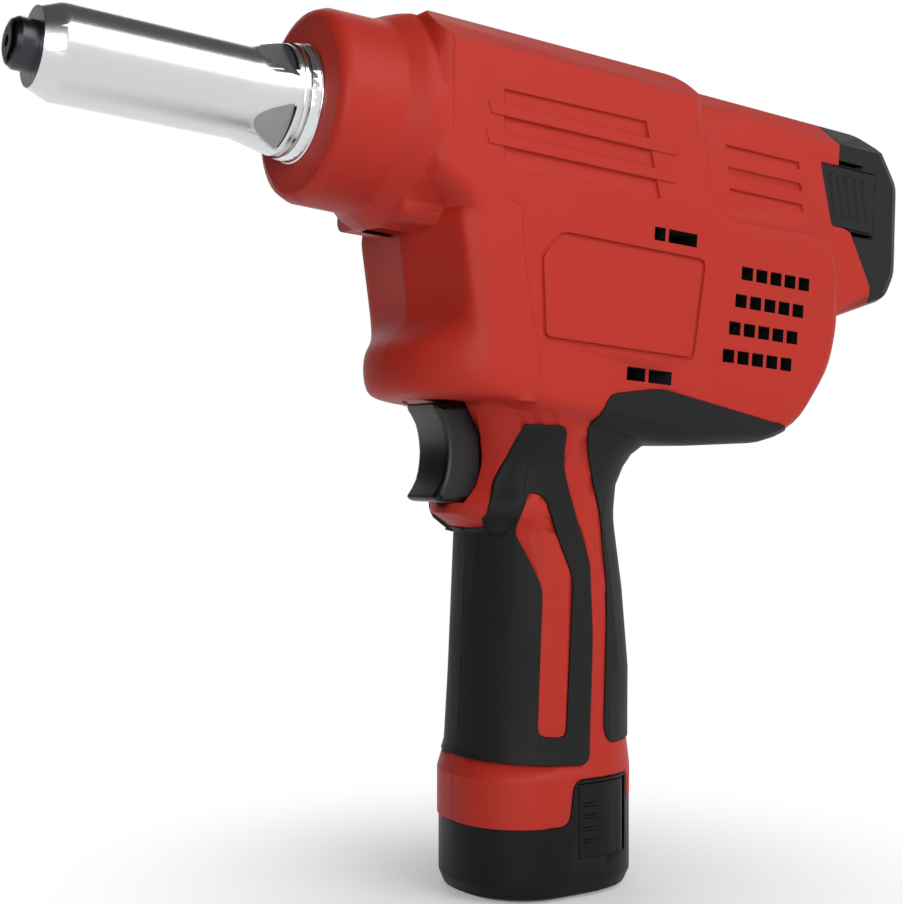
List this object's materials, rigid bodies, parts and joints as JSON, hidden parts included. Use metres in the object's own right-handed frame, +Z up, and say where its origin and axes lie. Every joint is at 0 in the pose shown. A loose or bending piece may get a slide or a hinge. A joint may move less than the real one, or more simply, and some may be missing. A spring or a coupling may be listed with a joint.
{
  "type": "battery rivet tool",
  "caption": "Pistol-grip battery tool that sets blind rivets: barrel with nosepiece and pulling jaws, gear drive, trigger, slide-in battery and a mandrel bin at the rear.",
  "frame": {"origin": "middle of the battery's flat foot, on the surface the tool stands on", "axes": "+Z up, -X towards the nose, +X towards the mandrel bin, Y across the tool"},
  "size_m": [0.2922, 0.0658, 0.2558],
  "materials": {
    "shell": "satin moulded",
    "soft_grip": "matt moulded",
    "barrel": "bright plated",
    "nose": "blackened",
    "screws": "blackened",
    "case": "die cast",
    "machined": "machined",
    "gears": "hardened",
    "magnets": "ground",
    "windings": "lacquered copper",
    "board": "solder mask",
    "inner_plastic": "moulded",
    "dark_plastic": "fine grained",
    "latches": "fine grained",
    "cells": "shrink sleeve",
    "contacts": "plated"
  },
  "bodies": {
    "tool": {"left_housing": "shell", "right_housing": "shell", "housing_screws": "screws", "left_front_grip": "soft_grip", "right_front_grip": "soft_grip", "left_rear_grip": "soft_grip", "right_rear_grip": "soft_grip", "barrel_sleeve": "barrel", "lock_ring": "barrel", "nosepiece": "nose", "gear_case": "case", "gear_cover": "case", "thrust_bearing": "machined", "rear_bearing": "machined", "screw_guide": "gears", "mandrel_tube": "machined", "ring_gear": "gears", "motor_can": "machined", "motor_magnets": "magnets", "motor_end_cap": "inner_plastic", "control_board": "board", "switch_body": "inner_plastic", "terminal_block": "inner_plastic"},
    "trigger": {"trigger": "dark_plastic"},
    "battery": {"battery_base": "dark_plastic", "battery_stem": "inner_plastic", "battery_cells": "cells", "battery_contacts": "contacts"},
    "battery_latch_left": {"battery_latch_left": "latches"},
    "battery_latch_right": {"battery_latch_right": "latches"},
    "collector": {"mandrel_collector": "dark_plastic"},
    "collector_latch_left": {"collector_latch_left": "latches"},
    "collector_latch_right": {"collector_latch_right": "latches"},
    "rotor": {"motor_shaft": "machined", "armature": "windings", "cooling_fan": "inner_plastic", "sun_gear": "gears"},
    "carrier": {"planet_carrier": "machined", "drive_pinion": "gears"},
    "planet_1": {"planet_gear_1": "gears"},
    "planet_2": {"planet_gear_2": "gears"},
    "planet_3": {"planet_gear_3": "gears"},
    "nut": {"ball_nut": "machined", "nut_gear": "gears"},
    "puller": {"ball_screw": "machined", "guide_key": "gears", "jaw_case": "machined", "jaws": "gears", "jaw_pusher": "machined", "pusher_spring": "machined"}
  },
  "joints": [
    {"name": "trigger_press", "type": "slide", "parent": "tool", "child": "trigger", "axis": [1, 0, 0], "range_m": [0, 0.006], "stiffness_N_per_m": 500, "springref_m": -0.004},
    {"name": "battery_release", "type": "slide", "parent": "tool", "child": "battery", "axis": [0, 0, -1], "range_m": [0, 0.09]},
    {"name": "battery_latch_left_press", "type": "slide", "parent": "battery", "child": "battery_latch_left", "axis": [0, 1, 0], "range_m": [0, 0.0015], "stiffness_N_per_m": 600, "springref_m": -0.001},
    {"name": "battery_latch_right_press", "type": "slide", "parent": "battery", "child": "battery_latch_right", "axis": [0, -1, 0], "range_m": [0, 0.0015], "stiffness_N_per_m": 600, "springref_m": -0.001},
    {"name": "collector_pull", "type": "slide", "parent": "tool", "child": "collector", "axis": [0.9969, 0, -0.0785], "range_m": [0, 0.05]},
    {"name": "collector_latch_left_press", "type": "slide", "parent": "collector", "child": "collector_latch_left", "axis": [0, 1, 0], "range_m": [0, 0.0015], "stiffness_N_per_m": 600, "springref_m": -0.001},
    {"name": "collector_latch_right_press", "type": "slide", "parent": "collector", "child": "collector_latch_right", "axis": [0, -1, 0], "range_m": [0, 0.0015], "stiffness_N_per_m": 600, "springref_m": -0.001},
    {"name": "puller_stroke", "type": "slide", "parent": "tool", "child": "puller", "axis": [0.9969, 0, -0.0785], "range_m": [0, 0.02]},
    {"name": "rotor_spin", "type": "hinge", "parent": "tool", "child": "rotor", "pos_m": [0.03705, 0, 0.18327], "axis": [0.9969, 0, -0.0785], "range_deg": [0, 11319.29]},
    {"name": "carrier_spin", "type": "hinge", "parent": "tool", "child": "carrier", "pos_m": [0.00515, 0, 0.18578], "axis": [0.9969, 0, -0.0785], "range_deg": [0, 2263.86]},
    {"name": "planet_1_spin", "type": "hinge", "parent": "carrier", "child": "planet_1", "pos_m": [0.01242, 0, 0.17618], "axis": [0.9969, 0, -0.0785], "range_deg": [-6035.29, 0]},
    {"name": "planet_2_spin", "type": "hinge", "parent": "carrier", "child": "planet_2", "pos_m": [0.01348, 0.00779, 0.18964], "axis": [0.9969, 0, -0.0785], "range_deg": [-6035.29, 0]},
    {"name": "planet_3_spin", "type": "hinge", "parent": "carrier", "child": "planet_3", "pos_m": [0.01348, -0.00779, 0.18964], "axis": [0.9969, 0, -0.0785], "range_deg": [-6035.29, 0]},
    {"name": "nut_spin", "type": "hinge", "parent": "tool", "child": "nut", "pos_m": [-0.00449, 0, 0.22265], "axis": [0.9969, 0, -0.0785], "range_deg": [-1441, 0]}
  ],
  "couplings": [
    {"joint": "rotor_spin", "follows": "puller_stroke", "rad_per_m": 9873.6},
    {"joint": "carrier_spin", "follows": "puller_stroke", "rad_per_m": 1974.7},
    {"joint": "planet_1_spin", "follows": "puller_stroke", "rad_per_m": -5265.9},
    {"joint": "planet_2_spin", "follows": "puller_stroke", "rad_per_m": -5265.9},
    {"joint": "planet_3_spin", "follows": "puller_stroke", "rad_per_m": -5265.9},
    {"joint": "nut_spin", "follows": "puller_stroke", "rad_per_m": -1256.6}
  ]
}
